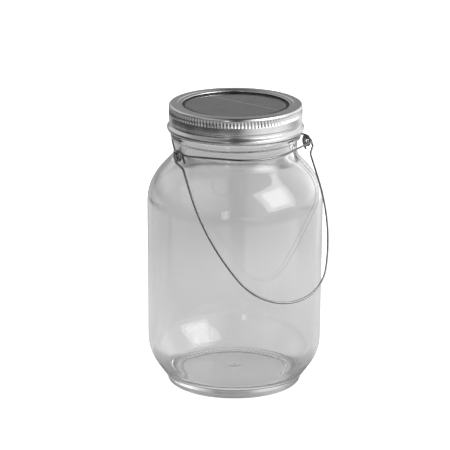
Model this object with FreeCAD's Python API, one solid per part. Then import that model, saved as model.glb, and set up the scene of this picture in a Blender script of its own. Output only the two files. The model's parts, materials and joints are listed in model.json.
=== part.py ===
"""Mason jar lantern with a solar lid, a wire neck ring and a swinging bail.

Units are millimetres. The origin is the middle of the jar's foot, on the surface it stands on.
+Z is up, the eyes of the neck ring are on the -X and +X sides, and the bail hangs towards -Y.
"""
import FreeCAD, Part
import os
from math import atan2, cos, radians, sin, sqrt, tan
from FreeCAD import Vector

# Glass jar
BODY_RADIUS = 48.35
BODY_TAPER = 0.45
WALL = 3.0
HEEL_INSET = 10.8
HEEL_HEIGHT = 18.2
HEEL_ROUND = 23.5
FOOT_HEIGHT = 3.0
FOOT_ROUND = 2.4
FOOT_RING_WIDTH = 6.2
PUSH_UP = 2.2
PUSH_UP_DOME = 0.6
BASE_THICKNESS = 4.0
SHOULDER_HEIGHT = 113.8
SHOULDER_SLOPE = 43.0
SHOULDER_ROUND = 28.0
NECK_SWELL = 0.2
NECK_HEIGHT = 9.6
NECK_ROUND = 3.0
BEAD_SWELL = 2.0
BEAD_HEIGHT = 4.0
BEAD_ROUND = 1.2
FINISH_RADIUS = 33.6
FINISH_WALL = 3.8
FINISH_HEIGHT = 11.2
RIM_ROUND = 1.2

# Screw band, rolled from one sheet
BAND_SHEET = 0.4
THREAD_ROOM = 2.5
BAND_HEIGHT = 14.8
BAND_EDGE_ROUND = 1.4
BAND_ROLL = 1.0
BAND_GROOVE = 0.6
BAND_FORM_ROUND = 0.7
GROOVE_TOP = 5.9
GROOVE_BOTTOM = 3.7
ROLL_TOP = 2.3
ROLL_BOTTOM = 0.9
FORM_RUN = 0.8
TOP_RING_WIDTH = 4.6
LIP_DROP = 0.4
HEM_HEIGHT = 0.75

# Solar unit housing
SEAT_GAP = 0.2
GASKET_THICKNESS = 1.2
GASKET_INSET = 0.5
FLANGE_THICKNESS = 1.8
FLANGE_SIDE_GAP = 1.5
RELIEF_DEPTH = 0.8
RELIEF_GAP = 0.5
CUP_GAP = 0.6
CUP_WALL = 1.6
POCKET_WALL = 1.2
POCKET_DEPTH = 1.4
RIM_SHOWN = 1.2
CEILING = 1.2
EDGE_ROUND = 0.3
PIECE_GAP = 0.2
WAFER_THICKNESS = 0.4
WAFER_INSET = 0.4

# Battery cell and contacts
CELL_DIAMETER = 10.5
CELL_LENGTH = 30.0
CELL_SHIFT = 9.0
CELL_GAP = 0.3
CELL_ROUND = 0.6
NUB_RADIUS = 1.9
NUB_HEIGHT = 1.0
CONTACT_SHEET = 0.4
CONTACT_SIZE = 9.0
CONTACT_GAP = 0.1
CONTACT_FOOT = 2.0
CONTACT_FOOT_LAP = 3.2
LEAF_BOW = 1.6
LEAF_HEIGHT = 7.5
LEAF_WIDTH = 5.0

# Circuit board and what it carries
BOARD_THICKNESS = 1.2
BOARD_DROP = 4.6
BOARD_EDGE_GAP = 1.0
CHIP_SIZE = (5.0, 4.0, 1.5)
CHIP_PLACE = (7.0, -4.0)
CHOKE_RADIUS = 1.4
CHOKE_LENGTH = 7.0
CHOKE_PLACE = (-8.0, -4.0)
LEAD_RADIUS = 0.5
LEAD_HOLE_GAP = 0.3
LEAD_SPREAD = 4.0
LEAD_Y = -14.5
LED_RADIUS = 2.5
LED_FLANGE = 0.4
LED_FLANGE_HEIGHT = 1.0
LED_PITCH = 9.0
LED_COUNT = 3
LED_Y = -8.5
LED_SHOWN = 1.9
LED_HOLE_GAP = 0.3

# Slide switch
SWITCH_SIZE = (8.6, 4.4, 4.0)
SWITCH_EDGE_GAP = 7.6
SLIDER_WIDTH = 2.0
SLIDER_TRAVEL = 2.0
SLIDER_GAP = 0.25
SLIDER_DEPTH = 1.5
SLIDER_SHOWN = 1.6
SLIDER_ROUND = 0.5

# Bottom cover, bosses and screws
COVER_THICKNESS = 1.4
BOSS_EDGE_GAP = 4.9
BOSS_RADIUS = 2.5
BOSS_STEP = 0.9
BOSS_ANGLES = (90.0, 210.0, 330.0)
SCREW_RADIUS = 1.0
SCREW_LENGTH = 6.0
SCREW_HEAD_RADIUS = 2.0
SCREW_HEAD_HEIGHT = 1.2
SCREW_SINK = 0.8
SCREW_FIT = 0.05

# Neck ring, bent from two wires
NECK_WIRE = 1.1
RING_GAP = 0.2
RING_DROP = 1.65
RING_DIP = 6.3
EYE_RADIUS = 2.75
EYE_TURN = 300.0
EYE_LAY = 0.2
EAR_LEAD = 9.0
EAR_BEND = 5.0
FRONT_EAR_RUN = 5.5
REAR_EAR_RUN = 1.5

# Bail handle, bent from one wire
BAIL_WIRE = 1.2
SWING_GAP = 0.4
HOOK_SLACK = 0.6
HOOK_GAP = 0.35
HOOK_ROUND = 1.6
TAIL_LENGTH = 6.2
HOOK_SHOULDER = 4.9
HOOK_SHOULDER_ROUND = 1.2
HOOK_HEIGHT = 9.2
HOOK_FOOT_ROUND = 3.0
LEG_LENGTH = 24.0
LEG_LEAN = 26.0
SIDE_ROUND = 120.0
REST_GAP = 0.3
SWING_SEARCH = (5.0, 85.0)
SWING_STEP = 0.01
LINE_POINTS = 400

# Heights of the jar, from the foot up
slope = radians(SHOULDER_SLOPE)
body_low_radius = BODY_RADIUS - BODY_TAPER
foot_radius = body_low_radius - HEEL_INSET
neck_radius = FINISH_RADIUS + NECK_SWELL
bead_radius = FINISH_RADIUS + BEAD_SWELL
mouth_radius = FINISH_RADIUS - FINISH_WALL
neck_z = SHOULDER_HEIGHT + (BODY_RADIUS - neck_radius) / tan(slope)
bead_z = neck_z + NECK_HEIGHT
finish_z = bead_z + BEAD_HEIGHT
rim_z = finish_z + FINISH_HEIGHT

# Heights and radii of the lid, stacked on the jar's rim
gasket_z = rim_z + SEAT_GAP
flange_z = gasket_z + GASKET_THICKNESS
flange_top = flange_z + FLANGE_THICKNESS
band_top = flange_top + SEAT_GAP + BAND_SHEET
band_bottom = band_top - BAND_HEIGHT
band_radius = FINISH_RADIUS + THREAD_ROOM + BAND_SHEET
roll_radius = band_radius + BAND_ROLL
flange_radius = band_radius - BAND_SHEET - FLANGE_SIDE_GAP
cup_radius = mouth_radius - CUP_GAP
cavity_radius = cup_radius - CUP_WALL
pocket_radius = cup_radius - POCKET_WALL
opening_radius = pocket_radius + RIM_SHOWN
top_ring_radius = band_radius - TOP_RING_WIDTH
relief_radius = top_ring_radius + RELIEF_GAP
relief_z = flange_top - RELIEF_DEPTH
pocket_z = relief_z - POCKET_DEPTH
ceiling_z = pocket_z - CEILING
cover_top = ceiling_z - CELL_DIAMETER - 2 * CELL_GAP
cover_z = cover_top - COVER_THICKNESS
board_top = ceiling_z - BOARD_DROP
board_z = board_top - BOARD_THICKNESS
board_edge_y = CELL_SHIFT - CELL_DIAMETER / 2 - BOARD_EDGE_GAP
cell_z = cover_top + CELL_GAP + CELL_DIAMETER / 2
boss_circle = cavity_radius - BOSS_EDGE_GAP
switch_y = SWITCH_EDGE_GAP - cavity_radius
slider_x = -SLIDER_TRAVEL / 2

# Places of the wires: the hook's tail clears the jar's bead, the bail's legs clear the band's roll
hoop_radius = neck_radius + RING_GAP + NECK_WIRE / 2
hoop_z = bead_z - RING_DROP
tail_x = bead_radius + SWING_GAP + BAIL_WIRE / 2
hook_width = 2 * NECK_WIRE + EYE_LAY + 2 * HOOK_SLACK + BAIL_WIRE
hook_middle_x = tail_x + hook_width / 2
front_eye_x = hook_middle_x - (NECK_WIRE + EYE_LAY) / 2
rear_eye_x = hook_middle_x + (NECK_WIRE + EYE_LAY) / 2
leg_x = roll_radius + SWING_GAP + BAIL_WIRE / 2
eye_hole_radius = EYE_RADIUS - NECK_WIRE / 2
hinge_y = -EAR_LEAD
hinge_z = hoop_z - EYE_RADIUS + eye_hole_radius - HOOK_GAP - BAIL_WIRE / 2

UP = Vector(0, 0, 1)
TINY = 1e-6


def rounded_edges(corners, closed=True):
    """Edges in the XZ plane through (x, z, round) corners, each corner rounded by a tangent arc."""
    points = [Vector(x, 0, z) for x, z, _ in corners]
    last = len(corners) - 1
    turns = []
    for i, (_, _, size) in enumerate(corners):
        here = points[i]
        if size == 0 or (not closed and i in (0, last)):
            turns.append((here, None, here))
            continue
        before = (points[i - 1] - here).normalize()
        after = (points[(i + 1) % len(points)] - here).normalize()
        half = before.getAngle(after) / 2
        reach = size / tan(half)
        middle = here + (before + after).normalize() * (size / sin(half) - size)
        turns.append((here + before * reach, middle, here + after * reach))
    edges = []
    for i, (start, middle, end) in enumerate(turns):
        if middle:
            edges.append(Part.Arc(start, middle, end).toShape())
        if i == last and not closed:
            break
        following = turns[(i + 1) % len(turns)][0]
        if end.distanceToPoint(following) > TINY:
            edges.append(Part.LineSegment(end, following).toShape())
    return edges


def offset_corners(corners, distance):
    """An open outline moved by distance to the left of its travel, with its rounds kept parallel."""
    lines = []
    for (x0, z0, _), (x1, z1, _) in zip(corners, corners[1:]):
        length = sqrt((x1 - x0) ** 2 + (z1 - z0) ** 2)
        dx, dz = (x1 - x0) / length, (z1 - z0) / length
        lines.append((x0 - dz * distance, z0 + dx * distance, dx, dz, length))
    x, z, _, _, _ = lines[0]
    moved = [(x, z, 0)]
    for (x0, z0, dx0, dz0, _), (x1, z1, dx1, dz1, _), corner in zip(lines, lines[1:], corners[1:]):
        left_turn = dx0 * dz1 - dz0 * dx1
        along = ((x1 - x0) * dz1 - (z1 - z0) * dx1) / left_turn
        size = corner[2] - distance if left_turn > 0 else corner[2] + distance
        moved.append((x0 + dx0 * along, z0 + dz0 * along, max(size, 0)))
    x, z, dx, dz, length = lines[-1]
    moved.append((x + dx * length, z + dz * length, 0))
    return moved


def revolved(corners):
    """A solid turned about Z from a closed outline of (radius, height, round) corners."""
    face = Part.Face(Part.Wire(rounded_edges(corners)))
    return face.revolve(Vector(0, 0, 0), UP, 360)


def disc(radius, low, high, x=0.0, y=0.0):
    return Part.makeCylinder(radius, high - low, Vector(x, y, low))


def block(size_x, size_y, low, high, x=0.0, y=0.0):
    return Part.makeBox(size_x, size_y, high - low, Vector(x - size_x / 2, y - size_y / 2, low))


def bent_wire(edges, diameter, name):
    """A round wire along tangent edges; prints how its volume compares with section times length."""
    path = Part.Wire(Part.__sortEdges__(edges))
    first = path.OrderedEdges[0]
    start = path.OrderedVertexes[0].Point
    at_start = first.valueAt(first.FirstParameter).distanceToPoint(start) < TINY
    heading = first.tangentAt(first.FirstParameter if at_start else first.LastParameter)
    section = Part.Wire(Part.Circle(start, heading, diameter / 2).toShape())
    solid = path.makePipeShell([section], True, False)
    share = solid.Volume / (section.Length * diameter / 4 * path.Length)
    print("%s: length %.1f, volume share %.4f" % (name, path.Length, share))
    return solid


def polar(radius, angle):
    return radius * cos(radians(angle)), radius * sin(radians(angle))


def jar_outline():
    """Corners of the jar's outer side from the foot to the rim."""
    return [
        (foot_radius, 0, FOOT_ROUND),
        (foot_radius, FOOT_HEIGHT, FOOT_ROUND / 2),
        (body_low_radius, HEEL_HEIGHT, HEEL_ROUND),
        (BODY_RADIUS, SHOULDER_HEIGHT, SHOULDER_ROUND),
        (neck_radius, neck_z, NECK_ROUND),
        (neck_radius, bead_z, BEAD_ROUND / 2),
        (bead_radius, bead_z, BEAD_ROUND),
        (bead_radius, finish_z, BEAD_ROUND),
        (FINISH_RADIUS, finish_z, BEAD_ROUND / 2),
        (FINISH_RADIUS, rim_z, RIM_ROUND),
    ]


def make_glass_jar():
    """Blown jar: a ringed foot with a push-up, a sloped heel, a round shoulder and a beaded neck."""
    outer = jar_outline()
    ring_inner = foot_radius - FOOT_RING_WIDTH
    floor_z = PUSH_UP + BASE_THICKNESS
    _, heel, shoulder, _ = offset_corners(outer[1:5], WALL)
    heel_run = (body_low_radius - foot_radius) / (HEEL_HEIGHT - FOOT_HEIGHT)
    floor_radius = heel[0] - (heel[1] - floor_z) * heel_run
    inner_neck_z = shoulder[1] + (shoulder[0] - mouth_radius) / tan(slope)
    underside = [
        (0, PUSH_UP + PUSH_UP_DOME, 0),
        (ring_inner - PUSH_UP, PUSH_UP, PUSH_UP / 2),
        (ring_inner, 0, PUSH_UP / 4),
    ]
    inner = [
        (mouth_radius, rim_z, RIM_ROUND),
        (mouth_radius, inner_neck_z, NECK_ROUND + WALL),
        shoulder,
        heel,
        (floor_radius, floor_z, WALL),
        (0, floor_z + PUSH_UP_DOME, 0),
    ]
    return revolved(underside + outer + inner)


def make_screw_band():
    """Rolled sheet: thread roll and groove below, plain wall, open top with a dropped, hemmed lip."""
    groove_radius = band_radius - BAND_GROOVE
    lip_z = band_top - LIP_DROP
    outer = [
        (band_radius, band_bottom, 0),
        (roll_radius, band_bottom + ROLL_BOTTOM, BAND_FORM_ROUND),
        (roll_radius, band_bottom + ROLL_TOP, BAND_FORM_ROUND),
        (groove_radius, band_bottom + GROOVE_BOTTOM, BAND_FORM_ROUND),
        (groove_radius, band_bottom + GROOVE_TOP - FORM_RUN, BAND_FORM_ROUND),
        (band_radius, band_bottom + GROOVE_TOP, BAND_FORM_ROUND),
        (band_radius, band_top, BAND_EDGE_ROUND),
        (top_ring_radius, band_top, LIP_DROP),
        (top_ring_radius - LIP_DROP, lip_z, LIP_DROP),
        (opening_radius, lip_z, BAND_SHEET),
        (opening_radius, lip_z - HEM_HEIGHT, 0),
    ]
    return revolved(outer + offset_corners(outer, BAND_SHEET)[::-1])


def boss_places():
    return [polar(boss_circle, angle) for angle in BOSS_ANGLES]


def make_unit_housing():
    """Cup with a clamped flange, a pocket for the solar cell on top and screw bosses inside."""
    housing = revolved([
        (0, ceiling_z, 0),
        (cavity_radius, ceiling_z, EDGE_ROUND),
        (cavity_radius, cover_z, 0),
        (cup_radius, cover_z, EDGE_ROUND),
        (cup_radius, flange_z, EDGE_ROUND),
        (flange_radius, flange_z, EDGE_ROUND),
        (flange_radius, flange_top, EDGE_ROUND),
        (relief_radius, flange_top, EDGE_ROUND),
        (relief_radius, relief_z, EDGE_ROUND),
        (pocket_radius, relief_z, EDGE_ROUND),
        (pocket_radius, pocket_z, 0),
        (0, pocket_z, 0),
    ])
    for x, y in boss_places():
        upper = disc(BOSS_RADIUS + BOSS_STEP, board_top, ceiling_z + EDGE_ROUND, x, y)
        lower = disc(BOSS_RADIUS, cover_top, board_top, x, y)
        pilot_top = cover_z + SCREW_SINK + SCREW_LENGTH + SCREW_RADIUS
        pilot = disc(SCREW_RADIUS + SCREW_FIT, cover_top, pilot_top, x, y)
        housing = housing.fuse([upper, lower]).cut(pilot)
    for x in (-LEAD_SPREAD, LEAD_SPREAD):
        housing = housing.cut(disc(LEAD_RADIUS + LEAD_HOLE_GAP, ceiling_z, pocket_z, x, LEAD_Y))
    return housing.removeSplitter()


def make_solar_cell():
    return disc(pocket_radius - PIECE_GAP - WAFER_INSET, pocket_z, pocket_z + WAFER_THICKNESS)


def make_panel_window():
    """Clear disc over the cell, with its top edge eased."""
    radius = pocket_radius - PIECE_GAP
    low = pocket_z + WAFER_THICKNESS
    high = relief_z - PIECE_GAP / 2
    return revolved([(0, low, 0), (radius, low, 0), (radius, high, EDGE_ROUND), (0, high, 0)])


def make_rim_gasket():
    inner = mouth_radius + GASKET_INSET
    outer = min(FINISH_RADIUS, flange_radius) - GASKET_INSET / 2
    return disc(outer, gasket_z, flange_z).cut(disc(inner, gasket_z, flange_z))


def make_bottom_cover():
    """Disc that closes the cup, with holes for the diodes, a slot for the slider and sunk screws."""
    cover = disc(cavity_radius - PIECE_GAP, cover_z, cover_top)
    for x in led_places():
        cover = cover.cut(disc(LED_RADIUS + LED_HOLE_GAP, cover_z, cover_top, x, LED_Y))
    for x, y in boss_places():
        cover = cover.cut(disc(SCREW_RADIUS + SCREW_FIT, cover_z, cover_top, x, y))
        cover = cover.cut(disc(SCREW_HEAD_RADIUS + PIECE_GAP, cover_z, cover_z + SCREW_SINK, x, y))
    slot_x = SLIDER_WIDTH + SLIDER_TRAVEL + 2 * SLIDER_GAP
    slot_y = SLIDER_WIDTH + 2 * SLIDER_GAP
    return cover.cut(block(slot_x, slot_y, cover_z, cover_top, 0, switch_y))


def make_cover_screws():
    """Pan-head screws through the cover into the bosses."""
    seat = cover_z + SCREW_SINK
    outline = [
        (0, seat - SCREW_HEAD_HEIGHT, 0),
        (SCREW_HEAD_RADIUS, seat - SCREW_HEAD_HEIGHT, SCREW_HEAD_HEIGHT / 2),
        (SCREW_HEAD_RADIUS, seat, 0),
        (SCREW_RADIUS, seat, 0),
        (SCREW_RADIUS, seat + SCREW_LENGTH - SCREW_RADIUS, 0),
        (0, seat + SCREW_LENGTH, 0),
    ]
    screws = []
    for x, y in boss_places():
        screw = revolved(outline)
        screw.translate(Vector(x, y, 0))
        screws.append(screw)
    return Part.makeCompound(screws)


def make_circuit_board():
    """Round board cut straight beside the cell, with holes that drop over the bosses."""
    radius = cavity_radius - BOARD_EDGE_GAP
    board = disc(radius, board_z, board_top)
    away = block(2 * radius, radius, board_z, board_top, 0, board_edge_y + radius / 2)
    board = board.cut(away)
    for x, y in boss_places():
        board = board.cut(disc(BOSS_RADIUS + PIECE_GAP, board_z, board_top, x, y))
    return board


def make_control_chip():
    size_x, size_y, height = CHIP_SIZE
    x, y = CHIP_PLACE
    chip = block(size_x, size_y, board_top, board_top + height, x, y)
    upper = [edge for edge in chip.Edges if edge.BoundBox.ZMin > board_top + height - TINY]
    return chip.makeChamfer(EDGE_ROUND, upper)


def make_choke_coil():
    """Axial choke lying on the board."""
    x, y = CHOKE_PLACE
    start = Vector(x - CHOKE_LENGTH / 2, y, board_top + CHOKE_RADIUS)
    coil = Part.makeCylinder(CHOKE_RADIUS, CHOKE_LENGTH, start, Vector(1, 0, 0))
    ends = [edge for edge in coil.Edges if len(edge.Vertexes) == 1]
    return coil.makeFillet(CHOKE_RADIUS / 2, ends)


def led_places():
    return [LED_PITCH * (i - (LED_COUNT - 1) / 2) for i in range(LED_COUNT)]


def make_diodes():
    """Domed light emitting diodes hanging from the board through the cover."""
    tip = cover_z - LED_SHOWN
    shoulder = board_z - LED_FLANGE_HEIGHT
    outline = [
        (0, tip, 0),
        (LED_RADIUS, tip, LED_RADIUS),
        (LED_RADIUS, shoulder, 0),
        (LED_RADIUS + LED_FLANGE, shoulder, 0),
        (LED_RADIUS + LED_FLANGE, board_z, 0),
        (0, board_z, 0),
    ]
    diodes = []
    for x in led_places():
        diode = revolved(outline)
        diode.translate(Vector(x, LED_Y, 0))
        diodes.append(diode)
    return Part.makeCompound(diodes)


def make_panel_lead(side):
    """Insulated lead from the solar cell down through the ceiling to the board."""
    return disc(LEAD_RADIUS, board_top, pocket_z, side * LEAD_SPREAD, LEAD_Y)


def make_battery_cell():
    """Round rechargeable cell lying along X, with its raised end towards +X."""
    half = CELL_LENGTH / 2
    cell = revolved([
        (0, -half, 0),
        (CELL_DIAMETER / 2, -half, CELL_ROUND),
        (CELL_DIAMETER / 2, half - NUB_HEIGHT, CELL_ROUND),
        (NUB_RADIUS, half - NUB_HEIGHT, 0),
        (NUB_RADIUS, half, CELL_ROUND / 2),
        (0, half, 0),
    ])
    cell.rotate(Vector(0, 0, 0), Vector(0, 1, 0), 90)
    cell.translate(Vector(0, CELL_SHIFT, cell_z))
    return cell


def contact_plate(x):
    """Upright sheet at one end of the cell, with a foot that stands on the board."""
    low = cell_z - CONTACT_SIZE / 2
    plate = block(CONTACT_SHEET, CONTACT_SIZE, low, low + CONTACT_SIZE, x, CELL_SHIFT)
    foot_end = board_edge_y - CONTACT_FOOT_LAP
    arm = CELL_SHIFT - foot_end
    foot = block(CONTACT_SHEET, arm, board_top, board_top + CONTACT_FOOT, x, foot_end + arm / 2)
    return plate.fuse(foot).removeSplitter()


def make_positive_contact():
    return contact_plate(CELL_LENGTH / 2 + CONTACT_GAP + CONTACT_SHEET / 2)


def make_negative_contact():
    """Plate with a bowed leaf that presses on the flat end of the cell."""
    reach = -CELL_LENGTH / 2 - CONTACT_GAP
    plate_x = reach - LEAF_BOW
    outside = Part.Arc(
        Vector(plate_x, 0, -LEAF_HEIGHT / 2), Vector(reach, 0, 0), Vector(plate_x, 0, LEAF_HEIGHT / 2)
    ).toShape()
    inside = Part.Arc(
        Vector(plate_x, 0, LEAF_HEIGHT / 2 - CONTACT_SHEET),
        Vector(reach - CONTACT_SHEET, 0, 0),
        Vector(plate_x, 0, CONTACT_SHEET - LEAF_HEIGHT / 2),
    ).toShape()
    upper = Part.LineSegment(outside.lastVertex().Point, inside.firstVertex().Point).toShape()
    lower = Part.LineSegment(inside.lastVertex().Point, outside.firstVertex().Point).toShape()
    leaf = Part.Face(Part.Wire([outside, upper, inside, lower])).extrude(Vector(0, LEAF_WIDTH, 0))
    leaf.translate(Vector(0, CELL_SHIFT - LEAF_WIDTH / 2, cell_z))
    return contact_plate(plate_x - CONTACT_SHEET / 2).fuse(leaf).removeSplitter()


def make_switch_body():
    """Slide switch under the board, open below where the slider runs."""
    size_x, size_y, height = SWITCH_SIZE
    low = board_z - height
    slot_x = SLIDER_WIDTH + SLIDER_TRAVEL + 2 * SLIDER_GAP
    slot_y = SLIDER_WIDTH + 2 * SLIDER_GAP
    body = block(size_x, size_y, low, board_z, 0, switch_y)
    return body.cut(block(slot_x, slot_y, low, low + SLIDER_DEPTH + SLIDER_GAP, 0, switch_y))


def make_switch_slider():
    """Square slider that reaches down through the cover, at its off end."""
    top = board_z - SWITCH_SIZE[2] + SLIDER_DEPTH
    low = cover_z - SLIDER_SHOWN
    slider = block(SLIDER_WIDTH, SLIDER_WIDTH, low, top, slider_x, switch_y)
    below = [edge for edge in slider.Edges if edge.BoundBox.ZMax < low + TINY]
    return slider.makeFillet(SLIDER_ROUND, below)


def neck_wire_path(eye_x, ear_reach, ear_run, dip, towards):
    """Half hoop on the neck with an eye at each end.

    In the hoop's plane, u runs along X and w from the jar's axis towards the hoop's middle. A straight
    run leaves the circle at the angle leave, a bend turns it parallel to w at eye_x, and a last short
    run meets the top of the eye. dip lowers the middle of the hoop; towards is -1 for the front wire
    and +1 for the rear one, the side of Y that the hoop passes.
    """
    radius = hoop_radius / cos(dip)
    ear_w = ear_reach / cos(dip) + EYE_RADIUS * sin(dip)
    bend_w = ear_w + ear_run
    side = eye_x - EAR_BEND
    core = radius - EAR_BEND
    run = sqrt(side ** 2 + bend_w ** 2 - core ** 2)
    leave = atan2(bend_w, side) + atan2(run, core)

    def place(u, w):
        return Vector(u, towards * w * cos(dip), hoop_z - (w - ear_w) * sin(dip))

    def on_circle(angle):
        return place(radius * cos(angle), radius * sin(angle))

    def half(sign):
        """Eye, bend and straight run on one side, from the eye's free end to the circle."""
        eye_top = place(sign * eye_x, ear_w)

        def eye_point(turn):
            angle = radians(turn)
            back = -EYE_RADIUS * sin(angle)
            down = EYE_RADIUS - EYE_RADIUS * cos(angle)
            y = towards * (back * cos(dip) - down * sin(dip))
            return eye_top + Vector(0, y, -back * sin(dip) - down * cos(dip))

        def bend_point(angle):
            return place(sign * (side + EAR_BEND * cos(angle)), bend_w + EAR_BEND * sin(angle))

        edges = []
        for first, last in ((EYE_TURN, EYE_TURN / 2), (EYE_TURN / 2, 0)):
            middle = eye_point((first + last) / 2)
            edges.append(Part.Arc(eye_point(first), middle, eye_point(last)).toShape())
        edges.append(Part.LineSegment(eye_top, bend_point(0)).toShape())
        edges.append(Part.Arc(bend_point(0), bend_point(leave / 2), bend_point(leave)).toShape())
        tangent_point = place(sign * radius * cos(leave), radius * sin(leave))
        edges.append(Part.LineSegment(bend_point(leave), tangent_point).toShape())
        return edges

    straight = radians(90)
    hoop = Part.Arc(on_circle(leave), on_circle(straight), on_circle(2 * straight - leave)).toShape()
    return half(1) + [hoop] + half(-1)


def make_neck_wire_front():
    """Front half, hanging a little lower in the middle."""
    path = neck_wire_path(front_eye_x, EAR_LEAD, FRONT_EAR_RUN, radians(RING_DIP), -1)
    return bent_wire(path, NECK_WIRE, "front wire")


def make_neck_wire_rear():
    """Rear half, level, with its eyes outside those of the front half."""
    path = neck_wire_path(rear_eye_x, -EAR_LEAD, REAR_EAR_RUN, 0.0, 1)
    return bent_wire(path, NECK_WIRE, "rear wire")


def bail_edges():
    """Flat outline of the bail, hanging straight down from the hinge line at z = 0.

    Each hook rises from its tail, turns over through the eyes and comes back to the leg. The legs
    run straight, lean in on a wide arc and meet in a round end.
    """
    lean = radians(LEG_LEAN)
    outer_x = tail_x + hook_width
    side_reach = SIDE_ROUND * tan(lean / 2)
    side_z = -LEG_LENGTH - side_reach
    end_z = side_z - leg_x / tan(lean)
    end_round = (leg_x / sin(lean) - side_reach) * tan(lean)
    half = [
        (tail_x, -TAIL_LENGTH, 0),
        (tail_x, 0, HOOK_ROUND),
        (outer_x, 0, HOOK_ROUND),
        (outer_x, -HOOK_SHOULDER, HOOK_SHOULDER_ROUND),
        (leg_x, -HOOK_HEIGHT, HOOK_FOOT_ROUND),
        (leg_x, side_z, SIDE_ROUND),
    ]
    mirrored = [(-x, z, size) for x, z, size in reversed(half)]
    return rounded_edges(half + [(0, end_z, end_round)] + mirrored, closed=False)


def clear_swing(forward):
    """Smallest swing from plumb at which the bail clears the jar; forward is -1 for the front."""
    jar_side = Part.Wire(rounded_edges(jar_outline(), closed=False))
    line = Part.Wire(Part.__sortEdges__(bail_edges()))
    points = [p for p in line.discretize(Number=LINE_POINTS) if p.z < -HOOK_HEIGHT]
    wanted = BAIL_WIRE / 2 + REST_GAP

    def clearance(swing):
        out = forward * sin(radians(swing))
        down = cos(radians(swing))
        spots = []
        for p in points:
            y = hinge_y - p.z * out
            spots.append(Vector(sqrt(p.x ** 2 + y ** 2), 0, hinge_z + p.z * down))
        return Part.makePolygon(spots).distToShape(jar_side)[0]

    low, high = SWING_SEARCH
    while high - low > SWING_STEP:
        middle = (low + high) / 2
        if clearance(middle) >= wanted:
            high = middle
        else:
            low = middle
    return high


def make_bail_handle():
    """The bail, swung forwards until its legs lean on the jar's shoulder."""
    bail = bent_wire(bail_edges(), BAIL_WIRE, "bail")
    front, back = clear_swing(-1), clear_swing(1)
    print("bail leans %.2f from plumb; free swing %.2f degrees" % (front, 360 - front - back))
    print("hinge line y %.3f z %.3f" % (hinge_y, hinge_z))
    bail.rotate(Vector(0, 0, 0), Vector(1, 0, 0), -front)
    bail.translate(Vector(0, hinge_y, hinge_z))
    return bail


def main():
    pieces = {
        "glass_jar": make_glass_jar(),
        "screw_band": make_screw_band(),
        "unit_housing": make_unit_housing(),
        "solar_cell": make_solar_cell(),
        "panel_window": make_panel_window(),
        "rim_gasket": make_rim_gasket(),
        "bottom_cover": make_bottom_cover(),
        "cover_screws": make_cover_screws(),
        "circuit_board": make_circuit_board(),
        "control_chip": make_control_chip(),
        "choke_coil": make_choke_coil(),
        "light_diodes": make_diodes(),
        "panel_lead_red": make_panel_lead(-1),
        "panel_lead_black": make_panel_lead(1),
        "battery_cell": make_battery_cell(),
        "positive_contact": make_positive_contact(),
        "negative_contact": make_negative_contact(),
        "switch_body": make_switch_body(),
        "switch_slider": make_switch_slider(),
        "neck_wire_front": make_neck_wire_front(),
        "neck_wire_rear": make_neck_wire_rear(),
        "bail_handle": make_bail_handle(),
    }
    os.makedirs("parts", exist_ok=True)
    for name, shape in pieces.items():
        shape.exportStep(os.path.join("parts", name + ".step"))
        print("%-18s valid %s solids %d volume %.1f" % (name, shape.isValid(), len(shape.Solids), shape.Volume))


main()
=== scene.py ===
"""Mason jar lantern: the looks of its glass jar, screw band, solar lid, neck ring and bail."""
import json

import bpy
import numpy as np
from mathutils import Matrix, Vector


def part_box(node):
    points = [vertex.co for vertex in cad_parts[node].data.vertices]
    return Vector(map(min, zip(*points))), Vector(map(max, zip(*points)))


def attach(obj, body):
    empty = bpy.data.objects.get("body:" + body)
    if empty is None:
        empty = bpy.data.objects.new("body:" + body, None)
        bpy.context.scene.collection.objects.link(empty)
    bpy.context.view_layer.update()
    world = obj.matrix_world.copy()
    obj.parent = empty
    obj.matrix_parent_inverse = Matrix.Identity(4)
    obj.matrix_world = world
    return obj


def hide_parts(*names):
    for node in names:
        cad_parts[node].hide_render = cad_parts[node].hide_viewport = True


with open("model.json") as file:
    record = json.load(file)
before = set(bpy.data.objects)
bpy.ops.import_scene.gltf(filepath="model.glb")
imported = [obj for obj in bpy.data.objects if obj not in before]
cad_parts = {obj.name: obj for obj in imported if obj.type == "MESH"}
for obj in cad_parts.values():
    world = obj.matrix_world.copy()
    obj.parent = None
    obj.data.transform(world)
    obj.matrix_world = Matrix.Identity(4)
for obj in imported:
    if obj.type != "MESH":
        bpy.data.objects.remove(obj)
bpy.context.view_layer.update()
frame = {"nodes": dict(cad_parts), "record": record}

MM = 0.001
TURN = 2 * np.pi

# Glass jar, in millimetres; the shoulder's slope is its angle from upright
BODY_RADIUS = 48.35
BODY_TAPER = 0.45
WALL = 3.0
HEEL_INSET = 10.8
HEEL_HEIGHT = 18.2
HEEL_ROUND = 23.5
FOOT_HEIGHT = 3.0
FOOT_ROUND = 2.4
FOOT_RING_WIDTH = 6.2
PUSH_UP = 2.2
PUSH_UP_DOME = 0.6
BASE_THICKNESS = 4.0
FLOOR_ROUND = 8.0
SHOULDER_HEIGHT = 113.8
SHOULDER_SLOPE = np.radians(43.0)
SHOULDER_ROUND = 28.0
NECK_SWELL = 0.2
NECK_HEIGHT = 9.6
NECK_ROUND = 8.5
INNER_NECK_ROUND = 12.0
BEAD_SWELL = 2.0
BEAD_HEIGHT = 4.0
BEAD_ROUND = 1.2
FINISH_RADIUS = 33.6
FINISH_WALL = 3.8
FINISH_HEIGHT = 11.2
RIM_ROUND = 1.2

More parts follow.
